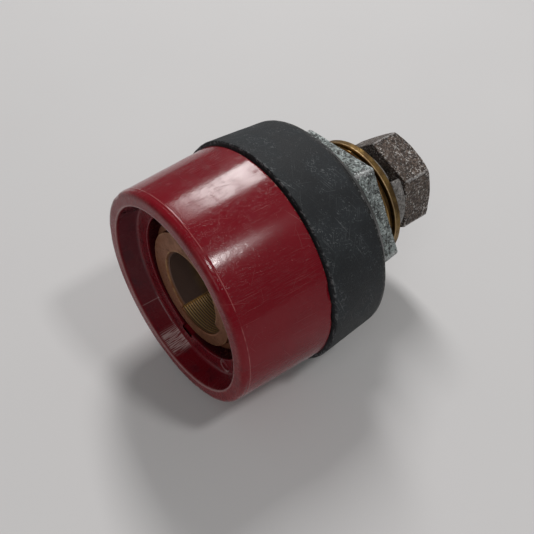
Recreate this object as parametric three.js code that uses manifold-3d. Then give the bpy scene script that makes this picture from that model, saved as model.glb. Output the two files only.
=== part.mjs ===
// Panel-mounted twist-lock socket for a welding cable: a moulded insulating shroud around a turned brass
// contact, clamped through a panel by a rubber ring and a thin hexagon nut, with an M10 terminal bolt behind.
// Millimetres. The socket's axis is Y: the mouth opens towards -Y and the cable terminal is at +Y. The
// origin is on that axis, in the clamp plane, where the shroud's back face meets the front of the panel.
import * as THREE from 'three';
import { mergeVertices } from 'three/addons/utils/BufferGeometryUtils.js';
import Module from 'manifold-3d';

const wasm = await Module();
wasm.setup();

// ---- gaps between pieces ------------------------------------------------------------------------
const SEAT_GAP = 0.3;            // between faces that bear on each other
const THREAD_GAP = 0.3;          // radial, between a threaded shaft and its hole
const RING_BORE_GAP = 0.5;       // radial, between the stud and the insulating ring
const WASHER_GAP = 0.5;          // radial, between the bolt and the flat washer
const SPRING_GAP = 0.35;         // radial, between the bolt and the spring washer

// ---- contact: bore for the plug, stud thread, tapped hole for the terminal bolt -----------------
const BORE_RADIUS = 6.6;         // takes the 13 mm pin of the plug
const BORE_CHAMFER = 0.45;
const STUD_WALL = 5.4;           // from the bore out to the crests of the stud's thread
const STUD_CHAMFER = 0.8;
const STUD_PAST_NUT = 2.8;       // how far the stud stands out behind the nut
const COLLAR_RELIEF = 0.2;       // the collar is turned down this much from the stud's radius
const COLLAR_LENGTH = 2.05;
const FACE_RELIEF = 1.3;         // and the end face this much from the collar's
const FACE_LENGTH = 1.5;
const FACE_EDGE = 0.2;
const FLANGE_LIP = 0.9;          // how far the flange stands out of the stud
const KEYWAY_DEPTH = 1.7;        // the wide slot that lets the plug's cam in
const KEYWAY_FROM = 244;         // degrees from +X towards +Z
const KEYWAY_TO = 339;
const KEYWAY_LENGTH = 8.5;       // from the end face to the groove that the cam turns in
const LOCK_GROOVE_WIDTH = 3.5;
const BOLT_HOLE_SPARE = 0.65;    // depth of the tapped hole past the bolt's tip
const WEB = 2.5;                 // solid brass between the tapped hole and the bore

// ---- locating pin, which stops the contact turning in the shroud --------------------------------
const PIN_RADIUS = 1;
const PIN_PROUD = 1;             // how far it stands out of the flange
const PIN_DEPTH = 2;             // how far it goes into the flange
const PIN_WALL = 0.35;           // flange metal on each side of the pin's hole
const PIN_ANGLE = 257;           // degrees from +X towards +Z

// ---- shroud -------------------------------------------------------------------------------------
const SHROUD_LENGTH = 17;        // from the front rim to the clamp plane
const SHROUD_DRAFT = 1;          // how much the outside widens from the rim to the back
const RIM_WALL = 2.4;
const RIM_ROUND = 1.3;
const REAR_EDGE = 0.4;
const MOUTH_DRAFT = 0.5;         // how much the mouth narrows down to its floor
const MOUTH_EDGE = 0.4;
const FLOOR_DEPTH = 4.1;         // from the rim to the recess floor
const FLOOR_LAND = 2.9;          // width of the floor around the contact's bore
const FLOOR_FILLET = 0.6;
const FACE_PROUD = 0.25;         // contact face in front of the recess floor
const SPIGOT_LENGTH = 5;         // passes through the panel's hole
const SPIGOT_WALL = 2.7;
const SPIGOT_CHAMFER = 0.4;

// ---- insulating ring ----------------------------------------------------------------------------
const RING_OVERHANG = 0.7;       // how far it stands out past the shroud's back edge
const RING_DRAFT = 0.6;
const RING_LENGTH = 13.3;
const RING_CHAMFER = 2;
const RING_EDGE = 0.25;

// ---- clamp nut ----------------------------------------------------------------------------------
const NUT_WALL = 1.2;            // between the thread's clearance and the flats
const NUT_THICKNESS = 5.9;
const NUT_PHASE = 1;             // first corner, degrees from +X towards +Z

// ---- washers ------------------------------------------------------------------------------------
const WASHER_RELIEF = 0.15;      // the flat washer is this much smaller than the stud's thread
const WASHER_THICKNESS = 1.3;
const WASHER_EDGE = 0.15;
const SPRING_WIDTH = 3.65;
const SPRING_THICKNESS = 2.2;
const SPRING_LIFT = 2.15;        // how far one end stands above the other when it isn't squeezed
const SPRING_SPLIT = 48;         // degrees from +X towards +Z
const SPRING_SPLIT_WIDTH = 4;    // degrees

// ---- terminal bolt, M10 x 20 --------------------------------------------------------------------
const BOLT_RADIUS = 5;
const BOLT_LENGTH = 20;
const BOLT_TIP_CHAMFER = 0.8;
const HEAD_ACROSS_FLATS = 17;
const HEAD_THICKNESS = 7;
const HEAD_PHASE = 38.4;         // first corner, degrees from +X towards +Z
const CORNER_CHAMFER_DEGREES = 30;
const CORNER_CHAMFER_INSET = 0.3;  // how far inside the flats the end face's circle lies

const ROUND_SIDES = 60;
const SMALL_SIDES = 36;
const PIN_SIDES = 16;
const ARC_STEPS = 4;
const KEYWAY_STEPS = 16;
const OVERSIZE = 1;              // how far a cutting solid runs past what it cuts

// ---- radii, from the bore outwards --------------------------------------------------------------
const keywayRadius = BORE_RADIUS + KEYWAY_DEPTH;
const studRadius = BORE_RADIUS + STUD_WALL;
const collarRadius = studRadius - COLLAR_RELIEF;
const faceRadius = collarRadius - FACE_RELIEF;
const flangeRadius = studRadius + FLANGE_LIP;
const flangeBoreRadius = flangeRadius + SEAT_GAP;
const mouthFloorRadius = flangeBoreRadius + FLOOR_LAND;
const mouthRadius = mouthFloorRadius + MOUTH_DRAFT;
const rimRadius = mouthRadius + RIM_WALL;
const rearRadius = rimRadius + SHROUD_DRAFT;
const studClearRadius = studRadius + THREAD_GAP;
const spigotRadius = studClearRadius + SPIGOT_WALL;
const ringRecessRadius = spigotRadius + SEAT_GAP;
const ringFrontRadius = rearRadius + RING_OVERHANG;
const ringRearRadius = ringFrontRadius - RING_DRAFT;
const nutAcrossFlats = 2 * (studClearRadius + NUT_WALL);
const washerRadius = studRadius - WASHER_RELIEF;
const boltHoleRadius = BOLT_RADIUS + THREAD_GAP;
const springInnerRadius = BOLT_RADIUS + SPRING_GAP;
const springRadius = springInnerRadius + SPRING_WIDTH;
const pinHoleRadius = PIN_RADIUS + SEAT_GAP;

// ---- stations along the axis, from the rim backwards --------------------------------------------
const rimY = -SHROUD_LENGTH;
const floorY = rimY + FLOOR_DEPTH;
const faceY = floorY - FACE_PROUD;
const collarY = faceY + FACE_LENGTH;
const flangeFrontY = collarY + COLLAR_LENGTH;
const flangeRearY = flangeFrontY + 2 * (pinHoleRadius + PIN_WALL);
const shoulderY = flangeRearY + SEAT_GAP;
const grooveFrontY = faceY + KEYWAY_LENGTH;
const grooveRearY = grooveFrontY + LOCK_GROOVE_WIDTH;
const ringFrontY = SEAT_GAP;
const ringRearY = ringFrontY + RING_LENGTH;
const nutFrontY = ringRearY + SEAT_GAP;
const nutRearY = nutFrontY + NUT_THICKNESS;
const studEndY = nutRearY + STUD_PAST_NUT;
const washerFrontY = studEndY + SEAT_GAP;
const washerRearY = washerFrontY + WASHER_THICKNESS;
const springFrontY = washerRearY + SEAT_GAP;
const springRearY = springFrontY + SPRING_THICKNESS + SPRING_LIFT;
const headFrontY = springRearY + SEAT_GAP;
const headRearY = headFrontY + HEAD_THICKNESS;
const boltTipY = headFrontY - BOLT_LENGTH;
const boltHoleY = boltTipY - BOLT_HOLE_SPARE;
const boreEndY = boltHoleY - WEB;

// ---- shape helpers ------------------------------------------------------------------------------
const radians = THREE.MathUtils.degToRad;

function polar(radius, degrees) {
  return [radius * Math.cos(radians(degrees)), radius * Math.sin(radians(degrees))];
}

// points of an arc in a turning profile, as [radius, y] pairs
function arc(centreR, centreY, radius, fromDegrees, toDegrees) {
  return Array.from({ length: ARC_STEPS + 1 }, (_, step) => {
    const [dr, dy] = polar(radius, fromDegrees + (toDegrees - fromDegrees) * step / ARC_STEPS);
    return [centreR + dr, centreY + dy];
  });
}

// a geometry as a manifold solid, with its seams merged and its empty triangles left out
function toSolid(geometry) {
  const bare = geometry.clone();
  bare.deleteAttribute('normal');
  bare.deleteAttribute('uv');
  const merged = mergeVertices(bare, 1e-4);
  const triangles = [];
  for (let i = 0; i < merged.index.count; i += 3) {
    const [a, b, c] = [0, 1, 2].map((k) => merged.index.getX(i + k));
    if (a !== b && b !== c && c !== a) {
      triangles.push(a, b, c);
    }
  }
  return new wasm.Manifold(new wasm.Mesh({
    numProp: 3,
    vertProperties: new Float32Array(merged.attributes.position.array),
    triVerts: new Uint32Array(triangles),
  }));
}

// a profile of [radius, y] pairs turned about the Y axis; outer walls run towards +Y
function turned(profile, sides = ROUND_SIDES) {
  return toSolid(new THREE.LatheGeometry(profile.map(([r, y]) => new THREE.Vector2(r, y)), sides));
}

// an outline of [x, z] pairs drawn out along Y
function prism(outline, fromY, toY) {
  const shape = new THREE.Shape(outline.map(([x, z]) => new THREE.Vector2(x, z)));
  const geometry = new THREE.ExtrudeGeometry(shape, { depth: toY - fromY, bevelEnabled: false });
  geometry.rotateX(Math.PI / 2);
  geometry.translate(0, toY, 0);
  return toSolid(geometry);
}

function disc(radius, fromY, toY, sides = ROUND_SIDES) {
  return turned([[0, fromY], [radius, fromY], [radius, toY], [0, toY]], sides);
}

// a hexagon between a plain end and one where a cone cuts its corners back, as on a turned bolt head
function hexagon(acrossFlats, phase, plainY, chamferedY) {
  const corner = acrossFlats / Math.sqrt(3);
  const outline = Array.from({ length: 6 }, (_, k) => polar(corner, phase + 60 * k));
  const endRadius = acrossFlats / 2 - CORNER_CHAMFER_INSET;
  const coneRadius = corner + OVERSIZE;
  const towardsChamfer = Math.sign(chamferedY - plainY);
  const coneLength = (coneRadius - endRadius) * Math.tan(radians(CORNER_CHAMFER_DEGREES));
  const coneY = chamferedY - towardsChamfer * coneLength;
  const pastPlainY = plainY - towardsChamfer * OVERSIZE;
  const cone = [
    [0, pastPlainY], [coneRadius, pastPlainY], [coneRadius, coneY], [endRadius, chamferedY], [0, chamferedY],
  ];
  if (towardsChamfer < 0) {
    cone.reverse();
  }
  return prism(outline, Math.min(plainY, chamferedY), Math.max(plainY, chamferedY)).intersect(turned(cone));
}

function piece(name, solid, look) {
  const { vertProperties, triVerts } = solid.getMesh();
  const geometry = new THREE.BufferGeometry();
  geometry.setAttribute('position', new THREE.BufferAttribute(vertProperties, 3));
  geometry.setIndex(new THREE.BufferAttribute(triVerts, 1));
  const mesh = new THREE.Mesh(geometry, new THREE.MeshStandardMaterial(look));
  mesh.name = name;
  return mesh;
}

// ---- finishes -----------------------------------------------------------------------------------
const RED_MOULDING = { color: 0x781828, roughness: 0.25, metalness: 0 };
const BRASS = { color: 0xa8843c, roughness: 0.4, metalness: 1 };
const TARNISHED_BRASS = { color: 0x8a6a3a, roughness: 0.5, metalness: 1 };
const BLACK_RUBBER = { color: 0x2e3133, roughness: 0.75, metalness: 0 };
const GALVANISED = { color: 0x8b8985, roughness: 0.5, metalness: 0.9 };
const PIN_STEEL = { color: 0x77777a, roughness: 0.4, metalness: 1 };

// ---- shroud: a cup with a shallow recess, a bore for the contact and a spigot behind ------------
function shroud() {
  const body = turned([
    [flangeBoreRadius, floorY],
    ...arc(mouthFloorRadius - FLOOR_FILLET, floorY - FLOOR_FILLET, FLOOR_FILLET, 90, 0),
    ...arc(mouthRadius + MOUTH_EDGE, rimY + MOUTH_EDGE, MOUTH_EDGE, 180, 270),
    ...arc(rimRadius - RIM_ROUND, rimY + RIM_ROUND, RIM_ROUND, 270, 360),
    [rearRadius, -REAR_EDGE],
    [rearRadius - REAR_EDGE, 0],
    [spigotRadius, 0],
    [spigotRadius, SPIGOT_LENGTH - SPIGOT_CHAMFER],
    [spigotRadius - SPIGOT_CHAMFER, SPIGOT_LENGTH],
    [studClearRadius, SPIGOT_LENGTH],
    [studClearRadius, shoulderY],
    [flangeBoreRadius, shoulderY],
    [flangeBoreRadius, floorY],
  ]);
  const slotRadius = flangeRadius + PIN_PROUD + SEAT_GAP;
  const turn = ([along, across]) => {
    const [x, z] = polar(along, PIN_ANGLE);
    const [sideX, sideZ] = polar(across, PIN_ANGLE + 90);
    return [x + sideX, z + sideZ];
  };
  const slot = prism([
    [flangeRadius - OVERSIZE, -pinHoleRadius], [slotRadius, -pinHoleRadius],
    [slotRadius, pinHoleRadius], [flangeRadius - OVERSIZE, pinHoleRadius],
  ].map(turn), floorY - OVERSIZE, shoulderY);
  return piece('shroud', body.subtract(slot), RED_MOULDING);
}

// ---- locating pin and its hole: a short cylinder across the axis, in the middle of the flange ---
function pinSolid(radius, fromRadius, toRadius) {
  const geometry = new THREE.CylinderGeometry(radius, radius, toRadius - fromRadius, PIN_SIDES);
  geometry.rotateZ(-Math.PI / 2);
  geometry.translate((fromRadius + toRadius) / 2, 0, 0);
  geometry.rotateY(-radians(PIN_ANGLE));
  geometry.translate(0, (flangeFrontY + flangeRearY) / 2, 0);
  return toSolid(geometry);
}

function locatingPin() {
  const solid = pinSolid(PIN_RADIUS, flangeRadius - PIN_DEPTH, flangeRadius + PIN_PROUD);
  return piece('locating_pin', solid, PIN_STEEL);
}

// ---- contact: one brass turning, open at both ends with a web between ---------------------------
function contactSocket() {
  const body = turned([
    [0, boreEndY],
    [BORE_RADIUS, boreEndY],
    [BORE_RADIUS, grooveRearY],
    [keywayRadius, grooveRearY],
    [keywayRadius, grooveFrontY],
    [BORE_RADIUS, grooveFrontY],
    [BORE_RADIUS, faceY + BORE_CHAMFER],
    [BORE_RADIUS + BORE_CHAMFER, faceY],
    [faceRadius - FACE_EDGE, faceY],
    [faceRadius, faceY + FACE_EDGE],
    [faceRadius, collarY],
    [collarRadius, collarY],
    [collarRadius, flangeFrontY],
    [flangeRadius, flangeFrontY],
    [flangeRadius, flangeRearY],
    [studRadius, flangeRearY],
    [studRadius, studEndY - STUD_CHAMFER],
    [studRadius - STUD_CHAMFER, studEndY],
    [boltHoleRadius, studEndY],
    [boltHoleRadius, boltHoleY],
    [0, boltHoleY],
  ]);
  const keywayRim = Array.from({ length: KEYWAY_STEPS + 1 }, (_, k) =>
    polar(keywayRadius, KEYWAY_FROM + (KEYWAY_TO - KEYWAY_FROM) * k / KEYWAY_STEPS));
  const keyway = prism([[0, 0], ...keywayRim], faceY - OVERSIZE, (grooveFrontY + grooveRearY) / 2);
  const pinHole = pinSolid(pinHoleRadius, flangeRadius - PIN_DEPTH - SEAT_GAP, flangeRadius + OVERSIZE);
  return piece('contact_socket', body.subtract(keyway).subtract(pinHole), TARNISHED_BRASS);
}

// ---- insulating ring: slides over the stud and the shroud's spigot ------------------------------
function insulatingRing() {
  const recessY = SPIGOT_LENGTH + SEAT_GAP;
  const boreRadius = studRadius + RING_BORE_GAP;
  const solid = turned([
    [ringRecessRadius, ringFrontY],
    [ringFrontRadius - RING_EDGE, ringFrontY],
    [ringFrontRadius, ringFrontY + RING_EDGE],
    [ringRearRadius, ringRearY - RING_CHAMFER],
    [ringRearRadius - RING_CHAMFER, ringRearY],
    [boreRadius, ringRearY],
    [boreRadius, recessY],
    [ringRecessRadius, recessY],
    [ringRecessRadius, ringFrontY],
  ]);
  return piece('insulating_ring', solid, BLACK_RUBBER);
}

// ---- clamp nut: its chamfered face is towards the ring ------------------------------------------
function clampNut() {
  const hole = disc(studClearRadius, nutFrontY - OVERSIZE, nutRearY + OVERSIZE);
  const solid = hexagon(nutAcrossFlats, NUT_PHASE, nutRearY, nutFrontY).subtract(hole);
  return piece('clamp_nut', solid, GALVANISED);
}

function flatWasher() {
  const inner = BOLT_RADIUS + WASHER_GAP;
  const solid = turned([
    [inner, washerFrontY],
    [washerRadius - WASHER_EDGE, washerFrontY],
    [washerRadius, washerFrontY + WASHER_EDGE],
    [washerRadius, washerRearY - WASHER_EDGE],
    [washerRadius - WASHER_EDGE, washerRearY],
    [inner, washerRearY],
    [inner, washerFrontY],
  ]);
  return piece('flat_washer', solid, BRASS);
}

// ---- spring washer: one left-handed turn of square wire, cut through at the split ---------------
function springWasher() {
  const sweep = 360 - SPRING_SPLIT_WIDTH;
  const positions = [];
  const triangles = [];
  for (let step = 0; step <= SMALL_SIDES; step += 1) {
    const share = step / SMALL_SIDES;
    const degrees = SPRING_SPLIT + SPRING_SPLIT_WIDTH / 2 + sweep * share;
    const frontY = springFrontY + SPRING_LIFT * share;
    const rearY = frontY + SPRING_THICKNESS;
    const section = [
      [springInnerRadius, frontY], [springRadius, frontY], [springRadius, rearY], [springInnerRadius, rearY],
    ];
    for (const [radius, y] of section) {
      const [x, z] = polar(radius, degrees);
      positions.push(x, y, z);
    }
  }
  for (let step = 0; step < SMALL_SIDES; step += 1) {
    for (let side = 0; side < 4; side += 1) {
      const a = step * 4 + side;
      const b = step * 4 + (side + 1) % 4;
      triangles.push(a, b, a + 4, b, b + 4, a + 4);
    }
  }
  const last = SMALL_SIDES * 4;
  triangles.push(0, 2, 1, 0, 3, 2, last, last + 1, last + 2, last, last + 2, last + 3);
  const geometry = new THREE.BufferGeometry();
  geometry.setAttribute('position', new THREE.Float32BufferAttribute(positions, 3));
  geometry.setIndex(triangles);
  return piece('spring_washer', toSolid(geometry), GALVANISED);
}

function terminalBolt() {
  const shank = turned([
    [0, boltTipY],
    [BOLT_RADIUS - BOLT_TIP_CHAMFER, boltTipY],
    [BOLT_RADIUS, boltTipY + BOLT_TIP_CHAMFER],
    [BOLT_RADIUS, headFrontY + OVERSIZE],
    [0, headFrontY + OVERSIZE],
  ], SMALL_SIDES);
  const head = hexagon(HEAD_ACROSS_FLATS, HEAD_PHASE, headFrontY, headRearY);
  return piece('terminal_bolt', head.add(shank), GALVANISED);
}

// ---- assembly: what is fixed, what the nut carries, what the bolt carries -----------------------
const socketBody = new THREE.Group();
socketBody.add(shroud(), contactSocket(), locatingPin());

const rearClamp = new THREE.Group();
rearClamp.add(insulatingRing(), clampNut());

const terminal = new THREE.Group();
terminal.add(flatWasher(), springWasher(), terminalBolt());

const socket = new THREE.Group();
socket.add(socketBody, rearClamp, terminal);

export default socket;
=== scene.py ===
import math

import bmesh
import bpy
import numpy as np
from mathutils import Matrix, Vector, noise


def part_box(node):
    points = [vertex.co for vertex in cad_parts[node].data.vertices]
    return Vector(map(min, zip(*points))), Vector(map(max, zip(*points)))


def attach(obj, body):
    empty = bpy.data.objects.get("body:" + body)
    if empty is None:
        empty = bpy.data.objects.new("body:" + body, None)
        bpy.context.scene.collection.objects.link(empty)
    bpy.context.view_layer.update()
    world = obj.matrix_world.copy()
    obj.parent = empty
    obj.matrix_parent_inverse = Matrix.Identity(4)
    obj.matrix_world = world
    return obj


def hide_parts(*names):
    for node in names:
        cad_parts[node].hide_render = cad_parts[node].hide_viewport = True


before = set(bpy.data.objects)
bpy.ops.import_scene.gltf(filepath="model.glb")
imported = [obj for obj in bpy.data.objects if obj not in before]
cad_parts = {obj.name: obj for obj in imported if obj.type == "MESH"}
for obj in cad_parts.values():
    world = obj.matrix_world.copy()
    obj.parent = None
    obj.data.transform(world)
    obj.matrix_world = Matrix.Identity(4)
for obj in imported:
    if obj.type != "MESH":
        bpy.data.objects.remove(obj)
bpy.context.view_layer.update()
scene = bpy.context.scene


# ---- camera -------------------------------------------------------------------------------------
# A 46 mm lens looks down at the socket from in front of its mouth and to one side, with the mouth at
# the lower left of the picture and the terminal bolt at the upper right.
HEADING = math.radians(50.67)
LOOKING_DOWN = math.radians(44.4)
RIM_LEFT_OF_LENS = 0.01558       # metres, from the lens to the middle of the rim
RIM_BELOW_LENS = 0.00553
RIM_AHEAD_OF_LENS = 0.11105

rim_centre = Vector((0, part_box("shroud")[0].y, 0))
camera_turn = Matrix.Rotation(HEADING, 3, "Z") @ Matrix.Rotation(math.pi / 2 - LOOKING_DOWN, 3, "X")
to_rim = camera_turn @ Vector((-RIM_LEFT_OF_LENS, -RIM_BELOW_LENS, -RIM_AHEAD_OF_LENS))
lens = bpy.data.cameras.new("camera")
lens.sensor_width = 36
lens.lens = 46.41
lens.clip_start = 0.001
camera = bpy.data.objects.new("camera", lens)
camera.location = rim_centre - to_rim
camera.rotation_euler = camera_turn.to_euler()
scene.collection.objects.link(camera)
scene.camera = camera


# ---- shroud -------------------------------------------------------------------------------------
# The insulating cup around the contact, compression moulded in dark red phenolic. It is glossy where
# it isn't rubbed, worn light along its rim, scratched, and chipped a little along its back edge.
# Its spigot goes through the panel, and a slot in its bore takes the contact's locating pin.
MM = 0.001
ROUND_STEPS = 5                  # rows of points in each rounded corner of a turning profile


def extent(node):
    """The front station, the rear station and the largest radius of a CAD node, in millimetres."""
    low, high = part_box(node)
    return low.y / MM, high.y / MM, max(high.x, high.z) / MM


def spread(sides, *fine):
    """Angles in degrees round the axis, evenly spread, with finer steps (centre, half width, step) added."""
    angles = [np.linspace(0, 360, sides, endpoint=False)]
    for centre, half_width, step in fine:
        angles.append(np.arange(-half_width, half_width + step / 2, step) + centre)
    return np.unique(np.round(np.concatenate(angles) % 360, 4))


def unit(vectors):
    return vectors / np.maximum(np.linalg.norm(vectors, axis=0), 1e-9)


def profile(corners, columns, closed=True):
    """The rows of a turning profile, as arrays of radii and stations with one column for each angle.
    A corner is (radius, station, rounding, spacing of the rows that follow), in millimetres."""
    zeros = np.zeros(columns)
    places = [np.array([corner[0] + zeros, corner[1] + zeros]) for corner in corners]
    arcs = []
    for k, (here, corner) in enumerate(zip(places, corners)):
        rounding = corner[2]
        if not rounding:
            arcs.append([here])
            continue
        back, on = places[k - 1] - here, places[(k + 1) % len(places)] - here
        half = np.arccos(np.clip((unit(back) * unit(on)).sum(0), -1, 1)) / 2
        reach = np.minimum(rounding / np.tan(half), 0.48 * np.linalg.norm(back, axis=0))
        reach = np.minimum(reach, 0.48 * np.linalg.norm(on, axis=0))
        centre = here + unit(unit(back) + unit(on)) * reach / np.cos(half)
        start = here + unit(back) * reach - centre
        end = here + unit(on) * reach - centre
        turn = math.pi - 2 * half
        arcs.append([
            centre + (start * np.sin((1 - share) * turn) + end * np.sin(share * turn)) / np.sin(turn)
            for share in np.linspace(0, 1, ROUND_STEPS + 1)
        ])
    rows = []
    for k, arc in enumerate(arcs):
        rows += arc
        if closed or k + 1 < len(arcs):
            after = arcs[(k + 1) % len(arcs)][0]
            gap = np.linalg.norm(after - arc[-1], axis=0).max()
            steps = max(1, math.ceil(gap / corners[k][3] - 0.01))
            rows += [arc[-1] + (after - arc[-1]) * step / steps for step in range(1, steps)]
    rows = np.array(rows)
    return rows[:, 0], rows[:, 1]


def skin(name, radius, station, angles, closed=True, attributes=None):
    """A closed mesh through the points of a turning grid, with its point attributes."""
    rows, columns = radius.shape
    turn = np.radians(angles)
    points = np.stack([radius * np.cos(turn), station, radius * np.sin(turn)], -1) * MM
    index = np.arange(rows * columns).reshape(rows, columns)
    below = index if closed else index[:-1]
    above = np.roll(index, -1, 0) if closed else index[1:]
    faces = np.stack([below, above, np.roll(above, -1, 1), np.roll(below, -1, 1)], -1).reshape(-1, 4)
    mesh = bpy.data.meshes.new(name)
    mesh.from_pydata(points.reshape(-1, 3).tolist(), [], faces.tolist())
    for key, values in (attributes or {}).items():
        layer = mesh.attributes.new(key, "FLOAT", "POINT")
        layer.data.foreach_set("value", (values + 0 * radius).ravel().astype(np.float32))
    merged = bmesh.new()
    merged.from_mesh(mesh)
    bmesh.ops.remove_doubles(merged, verts=merged.verts, dist=MM / 1000)
    merged.to_mesh(mesh)
    merged.free()
    piece = bpy.data.objects.new(name, mesh)
    scene.collection.objects.link(piece)
    return piece


def shade(piece, sharp_degrees=32):
    piece.data.shade_smooth()
    piece.data.set_sharp_from_angle(angle=math.radians(sharp_degrees))


def fit_out(piece, material, body, node):
    """Gives a finished piece its material, and hangs it on the frame in place of its CAD node."""
    piece.data.materials.clear()
    piece.data.materials.append(material)
    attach(piece, body)
    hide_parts(node)


def away(angles, centre):
    """Degrees from centre, from -180 to 180."""
    return (angles - centre + 180) % 360 - 180


def roughness_of(radius, station, angles, size):
    """Smooth random heights from -1 to 1 at the points of a turning grid, size millimetres across."""
    turn = np.radians(angles + 0 * radius)
    points = np.stack([radius * np.cos(turn), station, radius * np.sin(turn)], -1).reshape(-1, 3) / size
    return np.array([noise.noise(point) for point in points.tolist()]).reshape(radius.shape)


class Field:
    """A value that varies over a surface: a node's output, used in Python expressions."""

    def __init__(self, socket):
        self.socket = socket

    def node(self, kind, settings=None, sockets=None, output=0):
        """A new node of that type. Its settings are set first, then its sockets' values or links."""
        tree = self.socket.id_data
        made = tree.nodes.new(kind)
        for key, value in (settings or {}).items():
            setattr(made, key, value)
        for key, value in (sockets or {}).items():
            if isinstance(value, Field):
                tree.links.new(value.socket, made.inputs[key])
            else:
                made.inputs[key].default_value = value
        return Field(made.outputs[output])

    def maths(self, operation, *values):
        return self.node("ShaderNodeMath", {"operation": operation}, dict(enumerate(values)))

    def __add__(self, other):
        return self.maths("ADD", self, other)

    def __sub__(self, other):
        return self.maths("SUBTRACT", self, other)

    def __rsub__(self, other):
        return self.maths("SUBTRACT", other, self)

    def __mul__(self, other):
        return self.maths("MULTIPLY", self, other)

    def __truediv__(self, other):
        return self.maths("DIVIDE", self, other)

    def __pow__(self, other):
        return self.maths("POWER", self, other)

    def __abs__(self):
        return self.maths("ABSOLUTE", self)

    __radd__, __rmul__ = __add__, __mul__

    def at_most(self, other):
        return self.maths("MINIMUM", self, other)

    def rise(self, low, high):
        """0 where this is below low, 1 where it is above high, and smooth between. It falls if low > high."""
        sockets = {"Value": self, "From Min": low, "From Max": high}
        return self.node("ShaderNodeMapRange", {"interpolation_type": "SMOOTHSTEP"}, sockets)

    def near(self, value, half_width):
        """1 where this equals value, and 0 from half_width away."""
        return abs(self - value).rise(half_width, 0)

    def split(self):
        split = self.node("ShaderNodeSeparateXYZ", sockets={0: self})
        return [Field(socket) for socket in split.socket.node.outputs]

    def join(self, y, z):
        return self.node("ShaderNodeCombineXYZ", sockets={0: self, 1: y, 2: z})

    def times(self, factors):
        """A vector scaled along its axes."""
        return self.node("ShaderNodeVectorMath", {"operation": "MULTIPLY"}, {0: self, 1: factors})

    def turned_by(self, degrees):
        """A vector turned about Z."""
        turn = (0, 0, math.radians(degrees))
        return self.node("ShaderNodeMapping", sockets={"Vector": self, "Rotation": turn})

    def cloud(self, size, detail=2, roughness=0.5, shift=0):
        """Smooth noise from 0 to 1 over a place in millimetres, with lumps of about that size."""
        aside = (shift, 2 * shift, 3 * shift)
        moved = self.node("ShaderNodeVectorMath", {"operation": "ADD"}, {0: self, 1: aside})
        return self.node("ShaderNodeTexNoise", {}, {
            "Vector": moved, "Scale": 1 / size, "Detail": detail, "Roughness": roughness})

    def streaks(self, degrees, length, width, least, shift=0):
        """Thin straight marks on a flat place, at that angle from X. A higher least leaves fewer of them."""
        lines = self.turned_by(-degrees).times((1 / length, 1 / width, 1)).cloud(1, 0, 0, shift)
        return lines.rise(least, least + 0.05)

    def pick(self, zero, one):
        """The colour or field zero where this is 0, and one where it is 1."""
        return self.node("ShaderNodeMix", {"data_type": "RGBA"}, {0: self, 6: zero, 7: one}, output=2)

    def bump(self, distance, strength=1.0):
        """A surface normal raised by this height, from 0 to 1, times a distance in millimetres."""
        sockets = {"Height": self, "Distance": distance * MM, "Strength": strength}
        return self.node("ShaderNodeBump", sockets=sockets)

    def feeds(self, socket):
        self.socket.id_data.links.new(self.socket, socket)


def colour(red, green, blue):
    return (red, green, blue, 1)


def new_finish(name, **constants):
    """A material with one Principled shader, and the place on the object in millimetres."""
    material = bpy.data.materials.new(name)
    material.use_nodes = True
    shader = material.node_tree.nodes["Principled BSDF"]
    for key, value in constants.items():
        shader.inputs[key.replace("_", " ")].default_value = value
    place = Field(material.node_tree.nodes.new("ShaderNodeTexCoord").outputs["Object"])
    return material, shader.inputs, place.times((1 / MM, 1 / MM, 1 / MM))


def around(place):
    """Radius, station and degrees round the axis, which run from -180 at the bottom through 0 at the top."""
    x, y, z = place.split()
    radius = (x * x + z * z) ** 0.5
    return radius, y, x.maths("ARCTAN2", x, z) * math.degrees(1)


RIM_Y, SPIGOT_END_Y, SHROUD_RADIUS = extent("shroud")
CONTACT_FACE_Y, STUD_END_Y, FLANGE_RADIUS = extent("contact_socket")
PIN_FRONT_Y, PIN_REAR_Y, _ = extent("locating_pin")
SEAT_GAP = 0.3                   # between pieces that bear on each other
SHROUD_DRAFT = 1                 # how much the outside widens from the rim to the back
RIM_RADIUS = SHROUD_RADIUS - SHROUD_DRAFT
RIM_WALL = 2.4
RIM_ROUND = 1.3
MOULD_LINE = 0.05                # height of the bead where the rim's rounding meets the outside
RECESS_DEPTH = 4.1
FLOOR_Y = RIM_Y + RECESS_DEPTH
MOUTH_DRAFT = 0.5                # how much the mouth narrows down to the recess's floor
MOUTH_RADIUS = RIM_RADIUS - RIM_WALL
MOUTH_FLOOR_RADIUS = MOUTH_RADIUS - MOUTH_DRAFT
FLANGE_BORE_RADIUS = FLANGE_RADIUS + SEAT_GAP
FLANGE_LIP = 0.9                 # how far the contact's flange stands out of its stud
STUD_RADIUS = FLANGE_RADIUS - FLANGE_LIP
SPIGOT_BORE_RADIUS = STUD_RADIUS + SEAT_GAP
SPIGOT_WALL = 2.7
SPIGOT_RADIUS = SPIGOT_BORE_RADIUS + SPIGOT_WALL
PIN_PROUD = 1                    # how far the locating pin stands out of the flange
PIN_ANGLE = 257                  # degrees from +X towards +Z
PIN_Y = (PIN_FRONT_Y + PIN_REAR_Y) / 2
PIN_TO_FLANGE_REAR = 1.65        # from the pin's middle to the flange's rear face
FLANGE_REAR_Y = PIN_Y + PIN_TO_FLANGE_REAR
SHOULDER_Y = FLANGE_REAR_Y + SEAT_GAP
PIN_SLOT_RADIUS = FLANGE_RADIUS + PIN_PROUD + SEAT_GAP
PIN_SLOT_HALF_ANGLE = 5.7        # degrees
MARK_RADIUS = 14.6               # of the place where an ejector left its ring on the recess's floor
MARK_ANGLE = 304                 # degrees from +X towards +Z
MARK_HALF_WIDTH = 1.05
MARK_DEPTH = 0.25
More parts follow.
